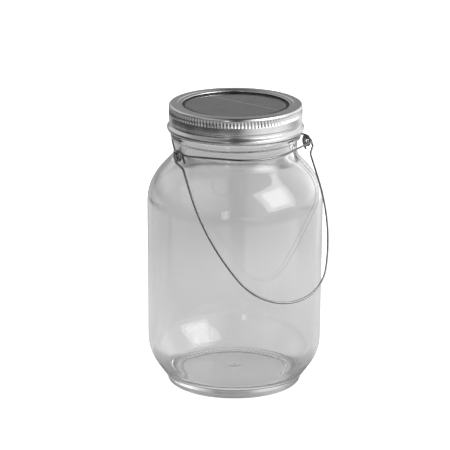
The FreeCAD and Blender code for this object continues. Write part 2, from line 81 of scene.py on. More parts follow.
# Worked out from them
BODY_LOW_RADIUS = BODY_RADIUS - BODY_TAPER
FOOT_RADIUS = BODY_LOW_RADIUS - HEEL_INSET
FOOT_RING_INNER = FOOT_RADIUS - FOOT_RING_WIDTH
NECK_RADIUS = FINISH_RADIUS + NECK_SWELL
BEAD_RADIUS = FINISH_RADIUS + BEAD_SWELL
MOUTH_RADIUS = FINISH_RADIUS - FINISH_WALL
FLOOR_Z = PUSH_UP + BASE_THICKNESS
NECK_Z = SHOULDER_HEIGHT + (BODY_RADIUS - NECK_RADIUS) / np.tan(SHOULDER_SLOPE)
BEAD_Z = NECK_Z + NECK_HEIGHT
FINISH_Z = BEAD_Z + BEAD_HEIGHT
RIM_Z = FINISH_Z + FINISH_HEIGHT

# Thread on the jar's finish, in millimetres, with its length, ends and lead in turns
THREAD_PITCH = 6.35
THREAD_HEIGHT = 1.4
THREAD_HALF_WIDTH = 1.1
THREAD_TURNS = 1.3
THREAD_END = 0.08
THREAD_LEAD = 0.3
THREAD_START = 2.6
THREAD_CLEAR_LOW = 1.4
THREAD_CLEAR_HIGH = 2.2
THREAD_FADE = 0.8
FINISH_SLACK = 0.05

# Stipples under the foot, from the inner edge of its ring, in millimetres
STIPPLE_COUNT = 80
STIPPLE_DEPTH = 0.3
STIPPLE_STEEPNESS = 1.6
STIPPLE_FROM = 1.5
STIPPLE_TO = 3.7
STIPPLE_FADE = 0.5

# Waves of the inner wall: how many go round, their share, their start and how they lean per millimetre
WAVES = ((3, 1.0, 0.6, 0.0), (5, 0.7, 2.1, 1 / 60), (8, 0.5, -1.2, 0.0), (13, 0.35, 0.0, 1 / 40))
WAVE_DEPTH = 0.12
WAVE_LOW = 26.0
WAVE_HIGH = 108.0
WAVE_FADE = 16.0

# Gate mark on the jar's floor, in millimetres
GATE_RADIUS = 4.0
GATE_HEIGHT = 0.35

# Screw band, in millimetres, with heights above its lower edge
BAND_SHEET = 0.4
THREAD_ROOM = 2.5
BAND_HEIGHT = 14.8
BAND_EDGE_ROUND = 1.4
BAND_ROLL = 1.0
BAND_GROOVE = 0.6
BAND_FORM_ROUND = 0.7
GROOVE_TOP = 5.9
GROOVE_BOTTOM = 3.7
ROLL_TOP = 2.3
ROLL_BOTTOM = 0.9
FORM_RUN = 0.8
TOP_RING_WIDTH = 4.6
LIP_DROP = 0.4
HEM_HEIGHT = 0.75
OPENING_RADIUS = 29.2
KNURL_COUNT = 120
KNURL_DEPTH = 0.5
KNURL_LOW = 9.7
KNURL_HIGH = 13.15
KNURL_FADE = 0.2
KNURL_STEEPNESS = 0.9

# Clear window over the solar cell, in millimetres: its lift above the cell and the round of its edge
WINDOW_LIFT = 0.03
WINDOW_ROUND = 0.3

# Mesh density: points round the axis, then along outlines, in degrees of arcs and millimetres of runs
JAR_SEGMENTS = 320
KNURL_SAMPLES = 6
ARC_ANGLE = 4.5
WIDE_ROUND = 8.0
COARSEST_ARC = 3
LEAST_ARC_POINTS = 3
PLAIN_STEP = 4.0
FLOOR_STEP = 1.2
FINE_STEP = 0.42

# Rougher glass of the foot, with its heights in millimetres
FOOT_ROUGH_FULL = 1.5
FOOT_ROUGH_END = 6.0
FOOT_ROUGHNESS = 0.4

# Drawn lines of the band's sheet: steps per millimetre of radius or height, and radians per step
DRAWN_LINE_RATE = 2.3
DRAWN_LINE_TURN = 3.1

# Lines of the solar cell: directions across them, millimetres, and shares of the fingers' pitch
BUS_NORMAL = (0.92, 0.39, 0.0)
BUS_OFFSET = 8.3
BUS_CORE = 0.15
BUS_EDGE = 0.4
BUS_SHARE = 0.9
FINGER_NORMAL = (0.39, -0.92, 0.0)
FINGER_PITCH = 2.4
FINGER_EDGE = 0.44
FINGER_CORE = 0.49
FINGER_SHARE = 0.06

# Change of tone along the battery's sleeve, in millimetres along X
SLEEVE_SPLIT = 8.0
SLEEVE_SPLIT_END = 8.4

# Camera, fitted to the lid and body in the photograph: radians, metres, pixels, and a sensor in mm
PHOTO_SIDE = 450
VIEW_AZIMUTH = np.radians(-26.0)
VIEW_ELEVATION = np.radians(16.5)
VIEW_ROLL = np.radians(0.331)
VIEW_DISTANCE = 1.5
AIM_SIDE = -0.00547
AIM_HEIGHT = 0.08866
FOCAL_PIXELS = 2722.2
SENSOR = 36.0
NEAR_CLIP = 0.01

# Its axes: right and backward along the table, then backward, right and up in the picture
TABLE_RIGHT = np.array([np.cos(VIEW_AZIMUTH), np.sin(VIEW_AZIMUTH), 0])
TABLE_BACK = np.array([np.sin(VIEW_AZIMUTH), -np.cos(VIEW_AZIMUTH), 0])
VIEW_BACK = TABLE_BACK * np.cos(VIEW_ELEVATION) + np.array([0, 0, np.sin(VIEW_ELEVATION)])
VIEW_RIGHT = TABLE_RIGHT * np.cos(VIEW_ROLL) + np.cross(VIEW_BACK, TABLE_RIGHT) * np.sin(VIEW_ROLL)
VIEW_UP = np.cross(VIEW_BACK, VIEW_RIGHT)

# Table, in metres: its tone and glow to the camera, and its tone in what the object shows of it
TABLE_REACH = 4.0
TABLE_DROP = 0.0001
TABLE_ROUGHNESS = 0.9
TABLE_TONE = 0.9
TABLE_GLOW = 0.75
TABLE_SHOWN_TONE = 0.05

# Pool of light on the table behind the jar, narrower than long and weaker on the left
POOL_BACK = 0.25
POOL_SQUEEZE = 1.9
POOL_INNER = 0.38
POOL_OUTER = 0.90
POOL_GLOW = 0.48
POOL_EDGE = 0.05
LEFT_FAR = -0.28
LEFT_NEAR = -0.12
LEFT_SHARE = 0.5

# Smaller pool close behind the jar, glow under its base, and shade round the near side of its foot
UNDER_BACK = 0.09
UNDER_INNER = 0.09
UNDER_OUTER = 0.22
UNDER_GLOW = 0.16
BASE_GLOW = 0.1
FOOT_INNER = 0.033
SHADE_INNER = 0.037
SHADE_OUTER = 0.10
SHADE_SHARE = 0.5

# Lit right side of the table: its share behind the jar, and the share that is added far behind
SIDE_NEAR = 0.07
SIDE_FAR = 0.40
SIDE_GLOW = 1.15
SIDE_SHARE = 0.5
SIDE_BEHIND_SHARE = 0.4
WELL_BEHIND = -0.36
FAR_BEHIND = -0.5

# Two lit areas of the table in front, with a dark gap between two slants
FRONT_NEAR = 0.22
FRONT_FULL = 0.34
FRONT_FADE = 0.38
FRONT_END = 0.45
FRONT_LEFT_GLOW = 0.42
FRONT_RIGHT_GLOW = 0.85
GAP_LEFT = -0.05
GAP_RIGHT = 0.28
GAP_SOFT = 0.12

# Light at the far left, behind the jar
FAR_LEFT_START = -0.08
FAR_LEFT_END = -0.3
FAR_LEFT_GLOW = 0.36
FAR_LEFT_REACH = 0.54

# Surroundings, as the object shows them: tones from the far left, 0, to the far right, 1, and how far a
# direction of unit length reaches to the right, back or up where a light begins and where it is full
ROOM_TONES = (
    (0.0, 0.34), (0.25, 0.28), (0.42, 0.08), (0.52, 0.03), (0.59, 0.03), (0.67, 0.3), (0.84, 0.9),
)
ROOM_GLOW = 1.6
LIFT_LOW = -0.02
LIFT_HIGH = 0.4
LIFT_RIGHT = 0.5
BEHIND_GLOW = 0.32
BEHIND_EDGE = 0.45
BEHIND_MIDDLE = 0.85
ROOM_LEFT_GLOW = 0.22
ROOM_RIGHT_GLOW = 0.25
ROOM_FRONT_EDGE = 0.3
ROOM_FRONT_MIDDLE = 0.6
CORNER_BACK_FULL = -0.4
CORNER_BACK_EDGE = -0.2
CORNER_LEFT_FULL = -0.3
CORNER_LEFT_EDGE = -0.1
CORNER_LOW = 0.1
CORNER_HIGH = 0.3


def rounded_outline(corners, arc_angle, run_steps, closed=False):
    """Points along straight runs through (radius, height, round) corners, each turned by a tangent arc.

    The arc at a corner has its centre on the bisector, round / sin(half the corner's angle) away.
    Wide arcs have a point for each arc_angle in degrees, small ones for up to COARSEST_ARC times that,
    and the run after each corner one for each of its run_steps.
    """
    corners = np.asarray(corners, float)
    run_steps = np.broadcast_to(run_steps, len(corners))
    places, rounds = corners[:, :2], corners[:, 2]
    last = len(places) - 1
    stretches = []
    for i, (here, size) in enumerate(zip(places, rounds)):
        if size == 0 or (not closed and i in (0, last)):
            stretches.append(here[None])
            continue
        before = places[i - 1] - here
        after = places[(i + 1) % len(places)] - here
        before /= np.linalg.norm(before)
        after /= np.linalg.norm(after)
        half = np.arccos(np.clip(before @ after, -1, 1)) / 2
        bisector = (before + after) / np.linalg.norm(before + after)
        centre = here + bisector * size / np.sin(half)
        arm = here + before * size / np.tan(half) - centre
        side = np.sign(before[1] * after[0] - before[0] * after[1])
        sweep = side * (np.pi - 2 * half)
        arc_step = arc_angle * np.clip(np.sqrt(WIDE_ROUND / size), 1, COARSEST_ARC)
        count = max(LEAST_ARC_POINTS, int(np.ceil(abs(np.degrees(sweep)) / arc_step)) + 1)
        angle = np.linspace(0, sweep, count)
        turned_x = arm[0] * np.cos(angle) - arm[1] * np.sin(angle)
        turned_z = arm[0] * np.sin(angle) + arm[1] * np.cos(angle)
        stretches.append(centre + np.stack([turned_x, turned_z], axis=1))
    points = []
    for i, stretch in enumerate(stretches):
        points.append(stretch)
        if i == last and not closed:
            break
        start, end = stretch[-1], stretches[(i + 1) % len(stretches)][0]
        count = int(np.linalg.norm(end - start) / run_steps[i])
        points.append(start + (end - start) * (np.arange(1, count + 1) / (count + 1))[:, None])
    return np.concatenate(points)


def parallel_corners(corners, distance):
    """Corners of an open outline moved by distance to the left of its travel, with parallel rounds.

    A corner moves along the sum of its two sides' left normals, over 1 + their dot product.
    """
    corners = np.asarray(corners, float)
    ahead = np.diff(corners[:, :2], axis=0)
    ahead /= np.linalg.norm(ahead, axis=1)[:, None]
    left = np.stack([-ahead[:, 1], ahead[:, 0]], axis=1)
    turn = ahead[:-1, 0] * ahead[1:, 1] - ahead[:-1, 1] * ahead[1:, 0]
    miter = (left[:-1] + left[1:]) / (1 + np.sum(left[:-1] * left[1:], axis=1))[:, None]
    moved = corners.copy()
    moved[0, :2] += distance * left[0]
    moved[1:-1, :2] += distance * miter
    moved[-1, :2] += distance * left[-1]
    moved[1:-1, 2] = np.maximum(corners[1:-1, 2] - distance * np.sign(turn), 0)
    return moved


def grid_faces(rows, columns, closed):
    """Quads between neighbouring rows of a grid whose columns run round.

    closed joins the last row to the first.
    """
    strips = rows if closed else rows - 1
    row, column = np.meshgrid(np.arange(strips), np.arange(columns), indexing="ij")
    above = (row + 1) % rows
    beside = (column + 1) % columns
    lower = [row * columns + column, row * columns + beside]
    upper = [above * columns + beside, above * columns + column]
    return np.stack(lower + upper, axis=-1).reshape(-1, 4)


def smooth_piece(name, points, faces, material, body):
    """An object at the origin from points in millimetres, smoothly shaded, riding on a body."""
    mesh = bpy.data.meshes.new(name)
    mesh.from_pydata((np.asarray(points) * MM).tolist(), [], faces)
    mesh.shade_smooth()
    mesh.materials.append(material)
    piece = bpy.data.objects.new(name, mesh)
    bpy.context.scene.collection.objects.link(piece)
    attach(piece, body)
    return piece


def turned_points(outline, segments, relief):
    """Outline (r, z) turned to ((r + dr) cos a, (r + dr) sin a, z + dz), where relief gives dr and dz."""
    angle = np.arange(segments) * TURN / segments
    radius, height, angle = np.broadcast_arrays(outline[:, :1], outline[:, 1:], angle)
    out, up = relief(radius, height, angle)
    radius, height = radius + out, height + up
    return np.stack([radius * np.cos(angle), radius * np.sin(angle), height], axis=-1)


def no_relief(radius, height, angle):
    """A plain surface: no shift outwards or upwards."""
    return 0.0, 0.0


def turned_solid(outline, segments, relief=no_relief):
    """Points and faces of a solid whose outline runs from axis to axis, with one point at each pole."""
    rings = turned_points(outline[1:-1], segments, relief)
    count = len(rings) * segments
    poles = np.array([[0, 0, outline[0, 1]], [0, 0, outline[-1, 1]]])
    points = np.concatenate([rings.reshape(-1, 3), poles])
    around = np.arange(segments)
    beside = (around + 1) % segments
    top = count - segments
    first = np.stack([np.full(segments, count), beside, around], axis=1)
    last = np.stack([top + around, top + beside, np.full(segments, count + 1)], axis=1)
    faces = grid_faces(len(rings), segments, False).tolist() + first.tolist() + last.tolist()
    return points, faces


def bump_between(value, low, high, fade):
    """1 between low and high, falling to 0 over fade outside them along a cosine."""
    outside = np.maximum(low - value, value - high)
    return 0.5 + 0.5 * np.cos(np.pi * np.clip(outside / fade, 0, 1))


def jar_outline():
    """Underside, outer wall and inner wall of the jar as one outline from axis to axis.

    The inner wall is parallel to the outer one from heel to shoulder. The foot ring, the finish and the
    floor have finer steps for their stipples, thread and gate mark.
    """
    underside = [
        (0, PUSH_UP + PUSH_UP_DOME, 0),
        (FOOT_RING_INNER - PUSH_UP, PUSH_UP, PUSH_UP / 2),
        (FOOT_RING_INNER, 0, PUSH_UP / 4),
    ]
    outer = [
        (FOOT_RADIUS, 0, FOOT_ROUND),
        (FOOT_RADIUS, FOOT_HEIGHT, FOOT_ROUND / 2),
        (BODY_LOW_RADIUS, HEEL_HEIGHT, HEEL_ROUND),
        (BODY_RADIUS, SHOULDER_HEIGHT, SHOULDER_ROUND),
        (NECK_RADIUS, NECK_Z, NECK_ROUND),
        (NECK_RADIUS, BEAD_Z, BEAD_ROUND / 2),
        (BEAD_RADIUS, BEAD_Z, BEAD_ROUND),
        (BEAD_RADIUS, FINISH_Z, BEAD_ROUND),
        (FINISH_RADIUS, FINISH_Z, BEAD_ROUND / 2),
        (FINISH_RADIUS, RIM_Z, RIM_ROUND),
    ]
    _, heel, shoulder, _ = parallel_corners(outer[1:5], WALL)
    inner_neck_z = shoulder[1] + (shoulder[0] - MOUTH_RADIUS) / np.tan(SHOULDER_SLOPE)
    heel_run = HEEL_INSET / (HEEL_HEIGHT - FOOT_HEIGHT)
    inner = [
        (MOUTH_RADIUS, RIM_Z, RIM_ROUND),
        (MOUTH_RADIUS, inner_neck_z, INNER_NECK_ROUND),
        tuple(shoulder),
        tuple(heel),
        (heel[0] - (heel[1] - FLOOR_Z) * heel_run, FLOOR_Z, FLOOR_ROUND),
        (0, FLOOR_Z + PUSH_UP_DOME, 0),
    ]
    corners = underside + outer + inner
    run_steps = np.full(len(corners), PLAIN_STEP)
    run_steps[corners.index(outer[0]) - 1] = FINE_STEP
    run_steps[corners.index(outer[-2])] = FINE_STEP
    run_steps[-2] = FLOOR_STEP
    return rounded_outline(corners, ARC_ANGLE, run_steps)


def jar_relief(radius, height, angle):
    """Relief of the jar's glass, outwards and upwards.

    Outwards: a helix on the finish whose section is exp(-x^4), and waves of the inner wall, a sum of
    sines round the axis. Upwards: clipped cosines under the foot ring, and a gate mark, exp(-(r / R)^4).
    """
    thread = 0.0
    for lap in range(int(np.ceil(THREAD_TURNS))):
        travel = angle / TURN + lap
        middle = FINISH_Z + THREAD_START + THREAD_PITCH * (travel - THREAD_LEAD)
        ends = bump_between(travel, THREAD_END, THREAD_TURNS - THREAD_END, THREAD_END)
        thread = thread + ends * THREAD_HEIGHT * np.exp(-((height - middle) / THREAD_HALF_WIDTH) ** 4)
    outside = bump_between(radius - FINISH_RADIUS, -FINISH_SLACK, FINISH_SLACK, 2 * FINISH_SLACK)
    clear = bump_between(height, FINISH_Z + THREAD_CLEAR_LOW, RIM_Z - THREAD_CLEAR_HIGH, THREAD_FADE)
    inside = np.clip((BODY_RADIUS - WALL / 2 - radius) / WALL, 0, 1)
    inside = inside * bump_between(height, WAVE_LOW, WAVE_HIGH, WAVE_FADE)
    waves = 0.0
    for count, share, start, lean in WAVES:
        waves = waves + share * np.sin(count * angle + start + height * lean)
    ring = bump_between(radius - FOOT_RING_INNER, STIPPLE_FROM, STIPPLE_TO, STIPPLE_FADE)
    under = ring * (height < PUSH_UP / 3)
    stipple = np.clip(np.cos(STIPPLE_COUNT * angle) * STIPPLE_STEEPNESS, 0, 1)
    gate = np.exp(-(radius / GATE_RADIUS) ** 4) * (height > FLOOR_Z - BASE_THICKNESS / 2)
    out = outside * clear * thread + WAVE_DEPTH * inside * waves
    return out, STIPPLE_DEPTH * under * stipple + GATE_HEIGHT * gate


def make_jar(material):
    """Blown glass jar: its outline turned about Z, with its relief."""
    points, faces = turned_solid(jar_outline(), JAR_SEGMENTS, jar_relief)
    piece = smooth_piece("jar_glass", points, faces, material, "jar")
    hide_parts("glass_jar")


def make_band(material):
    """Rolled sheet band: an outline and its parallel, turned about Z, with a pressed knurl."""
    band_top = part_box("screw_band")[1].z / MM
    bottom = band_top - BAND_HEIGHT
    wall = FINISH_RADIUS + THREAD_ROOM + BAND_SHEET
    groove = wall - BAND_GROOVE
    roll = wall + BAND_ROLL
    top_ring = wall - TOP_RING_WIDTH
    lip_z = band_top - LIP_DROP
    outer = [
        (wall, bottom, 0),
        (roll, bottom + ROLL_BOTTOM, BAND_FORM_ROUND),
        (roll, bottom + ROLL_TOP, BAND_FORM_ROUND),
        (groove, bottom + GROOVE_BOTTOM, BAND_FORM_ROUND),
        (groove, bottom + GROOVE_TOP - FORM_RUN, BAND_FORM_ROUND),
        (wall, bottom + GROOVE_TOP, BAND_FORM_ROUND),
        (wall, bottom + KNURL_LOW - 2 * KNURL_FADE, 0),
        (wall, bottom + KNURL_LOW - KNURL_FADE, 0),
        (wall, bottom + KNURL_LOW, 0),
        (wall, bottom + KNURL_HIGH, 0),
        (wall, bottom + KNURL_HIGH + KNURL_FADE, 0),
        (wall, band_top, BAND_EDGE_ROUND),
        (top_ring, band_top, LIP_DROP),
        (top_ring - LIP_DROP, lip_z, LIP_DROP),
        (OPENING_RADIUS, lip_z, BAND_SHEET),
        (OPENING_RADIUS, lip_z - HEM_HEIGHT, 0),
    ]
    corners = np.concatenate([np.asarray(outer, float), parallel_corners(outer, BAND_SHEET)[::-1]])
    outline = rounded_outline(corners, ARC_ANGLE, PLAIN_STEP, closed=True)

    def relief(radius, height, angle):
        """Rounded upright ribs, clipped cosines, pressed in between by the knurl's depth."""
        knurled = bump_between(height, bottom + KNURL_LOW, bottom + KNURL_HIGH, KNURL_FADE)
        knurled = knurled * (radius > groove - BAND_SHEET)
        rib = np.clip(0.5 + KNURL_STEEPNESS * np.cos(KNURL_COUNT * angle), 0, 1)
        return -KNURL_DEPTH * knurled * (1 - rib), 0.0

    segments = KNURL_COUNT * KNURL_SAMPLES
    points = turned_points(outline, segments, relief).reshape(-1, 3)
    faces = grid_faces(len(outline), segments, True).tolist()
    piece = smooth_piece("band_rolled", points, faces, material, "band")
    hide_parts("screw_band")


def make_window(material):
    """Clear disc over the solar cell, turned, with an eased top edge, a hair above the cell."""
    low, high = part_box("panel_window")
    low_z, high_z, radius = low.z / MM + WINDOW_LIFT, high.z / MM, high.x / MM
    corners = [
        (0, low_z, 0),
        (radius, low_z, WINDOW_ROUND / 2),
        (radius, high_z, WINDOW_ROUND),
        (0, high_z, 0),
    ]
    outline = rounded_outline(corners, ARC_ANGLE, PLAIN_STEP)
    points, faces = turned_solid(outline, JAR_SEGMENTS)
    piece = smooth_piece("window_disc", points, faces, material, "solar_unit")
    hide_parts("panel_window")


class Field:
    """A socket in a node tree; arithmetic on it adds Math nodes, and node() adds any other node."""

    def __init__(self, tree, socket):
        self.tree = tree
        self.socket = socket

    def node(self, kind, settings, links, output=0):
        """Output of a new node, with its settings made first, then its sockets' values or links.

        The setting "stops" gives a ramp's positions and grey tones.
        """
        made = self.tree.nodes.new(kind)
        for key, value in settings.items():
            if key == "stops":
                ramp = made.color_ramp.elements
                while len(ramp) < len(value):
                    ramp.new(0.5)
                for element, (position, tone) in zip(ramp, value):
                    element.position = position
                    element.color = grey(tone)
            else:
                setattr(made, key, value)
        for key, value in links.items():
            if isinstance(value, Field):
                self.tree.links.new(value.socket, made.inputs[key])
            else:
                made.inputs[key].default_value = value
        return Field(self.tree, made.outputs[output])

    def math(self, operation, *values):
        """Result of a Math node on the values."""
        return self.node("ShaderNodeMath", {"operation": operation}, dict(enumerate(values)))

    def __add__(self, other):
        return self.math("ADD", self, other)

    def __sub__(self, other):
        return self.math("SUBTRACT", self, other)

    def __rsub__(self, other):
        return self.math("SUBTRACT", other, self)

    def __mul__(self, other):
        return self.math("MULTIPLY", self, other)

    def __truediv__(self, other):
        return self.math("DIVIDE", self, other)

    def __rtruediv__(self, other):
        return self.math("DIVIDE", other, self)

    def __pow__(self, other):
        return self.math("POWER", self, other)

    def __rpow__(self, other):
        return self.math("POWER", other, self)

    __radd__ = __add__
    __rmul__ = __mul__

    def size(self):
        """The value without its sign."""
        return self.math("ABSOLUTE", self)

    def larger(self, other):
        """The larger of two values."""
        return self.math("MAXIMUM", self, other)

    def hypotenuse(self, other):
        """Root of the sum of two squares."""
        return (self * self + other * other) ** 0.5

    def vector_math(self, operation, links, output=0):
        """Result of a Vector Math node on this vector and the links."""
        return self.node("ShaderNodeVectorMath", {"operation": operation}, {0: self, **links}, output)

    def stretched(self, x, y, z):
        """The vector with its parts times x, y and z."""
        return self.vector_math("MULTIPLY", {1: (x, y, z)})

    def along(self, direction):
        """How far the vector reaches along a direction."""
        return self.vector_math("DOT_PRODUCT", {1: tuple(direction)}, "Value")

    def part(self, axis):
        """The vector's part along X, Y or Z, as 0, 1 or 2."""
        return self.node("ShaderNodeSeparateXYZ", {}, {0: self}, axis)

    def from_axis(self):
        """Distance from the Z axis."""
        return self.stretched(1, 1, 0).vector_math("LENGTH", {}, "Value")

    def noise(self, scale, detail=2.0):
        """Soft noise over the place, finer with a larger scale."""
        return self.node("ShaderNodeTexNoise", {}, {"Vector": self, "Scale": scale, "Detail": detail})

    def between(self, low, high, to_low=0.0, to_high=1.0):
        """Smooth step: to_low where the value is low or less, to_high where it is high or more."""
        links = {"Value": self, "From Min": low, "From Max": high, "To Min": to_low, "To Max": to_high}
        return self.node("ShaderNodeMapRange", {"interpolation_type": "SMOOTHSTEP"}, links)

    def colours(self, first, second):
        """Mix of two colours, the first where the value is 0 and the second where it is 1."""
        return self.node("ShaderNodeMix", {"data_type": "RGBA"}, {0: self, 6: first, 7: second}, 2)

    def bump(self, depth):
        """Normal of a relief whose full height is depth in millimetres."""
        return self.node("ShaderNodeBump", {}, {"Height": self, "Strength": 1.0, "Distance": depth * MM})


def grey(tone, tint=(1, 1, 1)):
    """Colour of a tone, with the shares of red, green and blue that a tint gives."""
    return tuple(tone * share for share in tint) + (1,)


def finish(name, paint, uniform=None):
    """Material with uniform values on its shader, and varying ones that paint gives for a place in mm."""
    made = bpy.data.materials.new(name)
    made.use_nodes = True
    tree = made.node_tree
    shader = tree.nodes["Principled BSDF"]
    for socket, value in (uniform or {}).items():
        shader.inputs[socket].default_value = value
    metres = Field(tree, tree.nodes.new("ShaderNodeTexCoord").outputs["Object"])
    for socket, field in paint(metres.stretched(1 / MM, 1 / MM, 1 / MM)).items():
        tree.links.new(field.socket, shader.inputs[socket])
    return made


def clear_glass(place):
    """Faint uneven tint, a little haze, long soft waves and a rougher foot."""
    haze = place.noise(scale=0.06, detail=3.0)
    waves = place.stretched(1, 1, 0.35).noise(scale=0.07, detail=1.0)
    foot = place.part(2).between(FOOT_ROUGH_FULL, FOOT_ROUGH_END, FOOT_ROUGHNESS, 0.0)
    return {
        "Base Color": haze.colours(grey(0.90), grey(0.94)),
        "Roughness": haze.between(0.35, 0.8, 0.0, 0.03) + foot,
        "Normal": waves.bump(depth=0.05),
    }


def rolled_sheet(place):
    """Tinned sheet with fine lines round the axis and soft cloudy dulling."""
    rings = (place.from_axis() + place.part(2)) * DRAWN_LINE_RATE
    lines = place.stretched(0.02, 0.02, 0).noise(scale=1.0) + rings
    drawn = lines.math("SINE", lines * DRAWN_LINE_TURN) * 0.5 + 0.5
    cloud = place.noise(scale=0.12, detail=4.0)
    dulling = cloud.between(0.3, 0.75, 0.16, 0.26)
    speck = place.noise(scale=1.6, detail=3.0)
    return {
        "Base Color": cloud.colours(grey(0.51), grey(0.61)),
        "Roughness": dulling + drawn * 0.04 + speck.between(0.6, 0.8) * 0.06,
        "Normal": (speck * 0.6 + drawn * 0.4).bump(depth=0.006),
    }


def drawn_wire(place):
    """Galvanised wire: cloudy tone and fine grain."""
    cloud = place.noise(scale=0.3, detail=4.0)
    grain = place.noise(scale=5.0, detail=2.0)
    return {
        "Base Color": cloud.colours(grey(0.14), grey(0.24)),
        "Roughness": cloud.between(0.3, 0.7, 0.12, 0.22),
        "Normal": grain.bump(depth=0.02),
    }


def moulded(first, second, rough):
    """Moulded plastic or rubber: cloudy between two tones, with a fine grain."""
    def paint(place):
        cloud = place.noise(scale=0.25, detail=3.0)
        texture = place.noise(scale=4.0, detail=2.0)
        return {
            "Base Color": cloud.colours(first, second),
            "Roughness": cloud.between(0.2, 0.8, rough - 0.06, rough + 0.08),
            "Normal": texture.bump(depth=0.03),
        }
    return paint


def plated(tone):
    """Thin plated metal with faint cloudy dulling."""
    def paint(place):
        cloud = place.noise(scale=0.5, detail=3.0)
        return {
            "Base Color": cloud.colours(grey(tone * 0.9), grey(tone)),
            "Roughness": cloud.between(0.2, 0.8, 0.2, 0.36),
            "Normal": place.noise(scale=6.0).bump(depth=0.004),
        }
    return paint


def solar_wafer(place):
    """Dark solar wafer: faint crystal patches, thin fingers, one bus line off the centre."""
    over_bus = place.along(BUS_NORMAL)
    over_fingers = place.along(FINGER_NORMAL) / FINGER_PITCH
    grains = {"Vector": place.stretched(1, 1, 0), "Scale": 0.22}
    tone = place.node("ShaderNodeTexVoronoi", {}, grains, "Color").part(0)
    bus = 1 - (over_bus - BUS_OFFSET).size().between(BUS_CORE, BUS_EDGE)
    from_middle = (over_fingers.math("FRACT", over_fingers) - 0.5).size()
    finger = from_middle.between(FINGER_EDGE, FINGER_CORE)
    lines = (bus * BUS_SHARE).larger(finger * FINGER_SHARE)
    dark = tone.colours(grey(0.014, (0.9, 0.95, 1.1)), grey(0.022, (0.9, 0.95, 1.1)))
    return {
        "Base Color": lines.colours(dark, grey(0.55)),
        "Roughness": tone.between(0, 1, 0.28, 0.4),
    }


def cast_window(place):
    """Clear cast resin: hardly any tint and a little haze."""
    return {
        "Base Color": place.noise(scale=0.08).colours(grey(0.95), grey(0.99)),
        "Roughness": place.noise(scale=0.2, detail=3.0).between(0.3, 0.8, 0.02, 0.07),
    }


def diode_resin(place):
    """Clear resin of the diodes, a little warm."""
    return {
        "Base Color": place.noise(scale=0.5).colours(grey(0.86), grey(0.95, (1, 1, 0.95))),
        "Roughness": place.noise(scale=0.8).between(0.3, 0.7, 0.05, 0.12),
    }


def solder_mask(place):
    """Green board with small darker squares scattered over it."""
    squares = {"distance": "CHEBYCHEV", "feature": "F1"}
    from_middle = place.node("ShaderNodeTexVoronoi", squares, {"Vector": place, "Scale": 0.4})
    between_squares = from_middle.between(0.3, 0.4)
    return {
        "Base Color": between_squares.colours((0.015, 0.10, 0.035, 1), (0.03, 0.18, 0.06, 1)),
        "Roughness": between_squares.between(0, 1, 0.3, 0.45),
        "Normal": between_squares.bump(depth=0.03),
    }


def cell_sleeve(place):
    """Shrink sleeve of the cell: two tones along its length, with a soft sheen."""
    pale_end = place.part(0).between(SLEEVE_SPLIT, SLEEVE_SPLIT_END)
    cloud = place.noise(scale=0.3, detail=3.0)
    return {
        "Base Color": pale_end.colours((0.03, 0.16, 0.08, 1), (0.55, 0.55, 0.5, 1)),
        "Roughness": cloud.between(0.2, 0.8, 0.22, 0.34),
        "Normal": place.noise(scale=0.8, detail=2.0).bump(depth=0.03),
    }


def make_finishes():
    """Materials by the record's slots."""
    metal = {"Metallic": 1.0}
    return {
        "glass": finish("clear_glass", clear_glass, {"Transmission Weight": 1.0, "IOR": 1.5}),
        "band_sheet": finish("rolled_sheet", rolled_sheet, metal),
        "wire": finish("drawn_wire", drawn_wire, metal),
        "housing": finish("black_housing", moulded(grey(0.012), grey(0.02), 0.45)),
        "cell_face": finish("solar_wafer", solar_wafer, {"Specular IOR Level": 0.1}),
        "window": finish("cast_window", cast_window, {"Transmission Weight": 1.0, "IOR": 1.35}),
        "gasket": finish("pale_rubber", moulded(grey(0.55), grey(0.62, (1, 1, 0.97)), 0.6)),
        "cover": finish("white_cover", moulded(grey(0.68), grey(0.74, (1, 1, 0.98)), 0.45)),
        "screws": finish("zinc_screws", plated(0.6), metal),
        "board": finish("solder_mask", solder_mask),
        "chip": finish("chip_mould", moulded(grey(0.015), grey(0.03), 0.55)),
        "choke": finish("choke_lacquer", moulded((0.10, 0.30, 0.16, 1), (0.14, 0.38, 0.2, 1), 0.25)),
        "diodes": finish("diode_resin", diode_resin, {"Transmission Weight": 0.8, "IOR": 1.5}),
        "lead_red": finish("red_lead", moulded((0.42, 0.02, 0.02, 1), (0.55, 0.03, 0.03, 1), 0.4)),
        "lead_black": finish("black_lead", moulded(grey(0.012), grey(0.025), 0.4)),
        "battery": finish("cell_sleeve", cell_sleeve),
        "contacts": finish("nickel_contacts", plated(0.72), metal),
        "switch_case": finish("tinned_case", plated(0.66), metal),
        "slider": finish("black_slider", moulded(grey(0.012), grey(0.025), 0.42)),
    }


def dress_nodes(finishes):
    """Each CAD node takes the finish of its slot in the record."""
    for part in frame["record"]["subparts"]:
        mesh = frame["nodes"][part["node"]].data
        mesh.materials.clear()
        mesh.materials.append(finishes[part["material_slot"]])


def camera_ray(tree):
    """1 for what the camera sees straight on, 0 for what it sees in or through the object."""
    return Field(tree, tree.nodes.new("ShaderNodeLightPath").outputs["Is Camera Ray"])


def beside_gap(slant, left_glow, right_glow):
    """Two glows with a dark gap between them; slant is the way to the right over the way in front."""
    left = slant.between(GAP_LEFT - GAP_SOFT, GAP_LEFT, left_glow, 0.0)
    return left + slant.between(GAP_RIGHT - GAP_SOFT, GAP_RIGHT, 0.0, right_glow)


